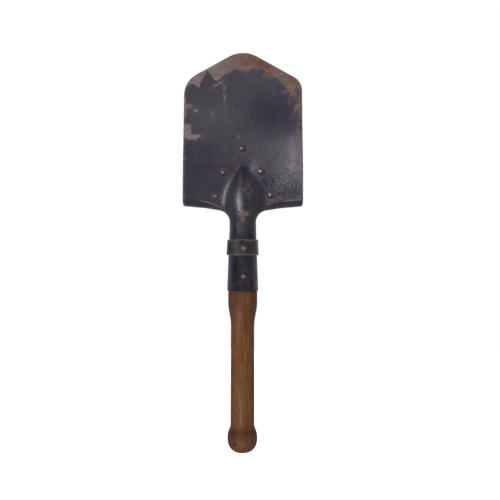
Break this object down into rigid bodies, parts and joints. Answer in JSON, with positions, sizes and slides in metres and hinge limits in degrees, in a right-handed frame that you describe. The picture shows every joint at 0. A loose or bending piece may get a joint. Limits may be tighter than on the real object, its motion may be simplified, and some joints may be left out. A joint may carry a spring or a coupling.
{
  "type": "camp shovel",
  "caption": "Short camp shovel with a pressed and painted steel blade, pointed tip, riveted rear strap, collared socket and turned ball-end wooden handle.",
  "frame": {"origin": "on the handle's axis, level with the blade's shoulders, where a belt carrier or a pair of pegs under the shoulders holds the shovel up", "axes": "+Z runs from the handle to the blade's tip, -Y looks out of the hollow working face, +X is to the right as seen from the front"},
  "size_m": [0.1502, 0.042, 0.4999],
  "materials": {
    "blade_paint": "worn semi-gloss black paint, bare brown steel along the tip",
    "collar_paint": "worn semi-gloss black paint with bare edges",
    "rivet_steel": "painted domed heads rubbed to bare steel",
    "pin_steel": "bare, slightly rusted",
    "handle_wood": "oiled, darkened by handling"
  },
  "bodies": {
    "root": {"blade": "blade_paint", "rear_strap": "blade_paint", "collar": "collar_paint", "handle": "handle_wood", "blade_rivet_top": "rivet_steel", "blade_rivet_mid_left": "rivet_steel", "blade_rivet_mid_right": "rivet_steel", "blade_rivet_low_left": "rivet_steel", "blade_rivet_low_right": "rivet_steel", "collar_rivet": "pin_steel", "socket_rivet": "pin_steel"}
  },
  "joints": []
}
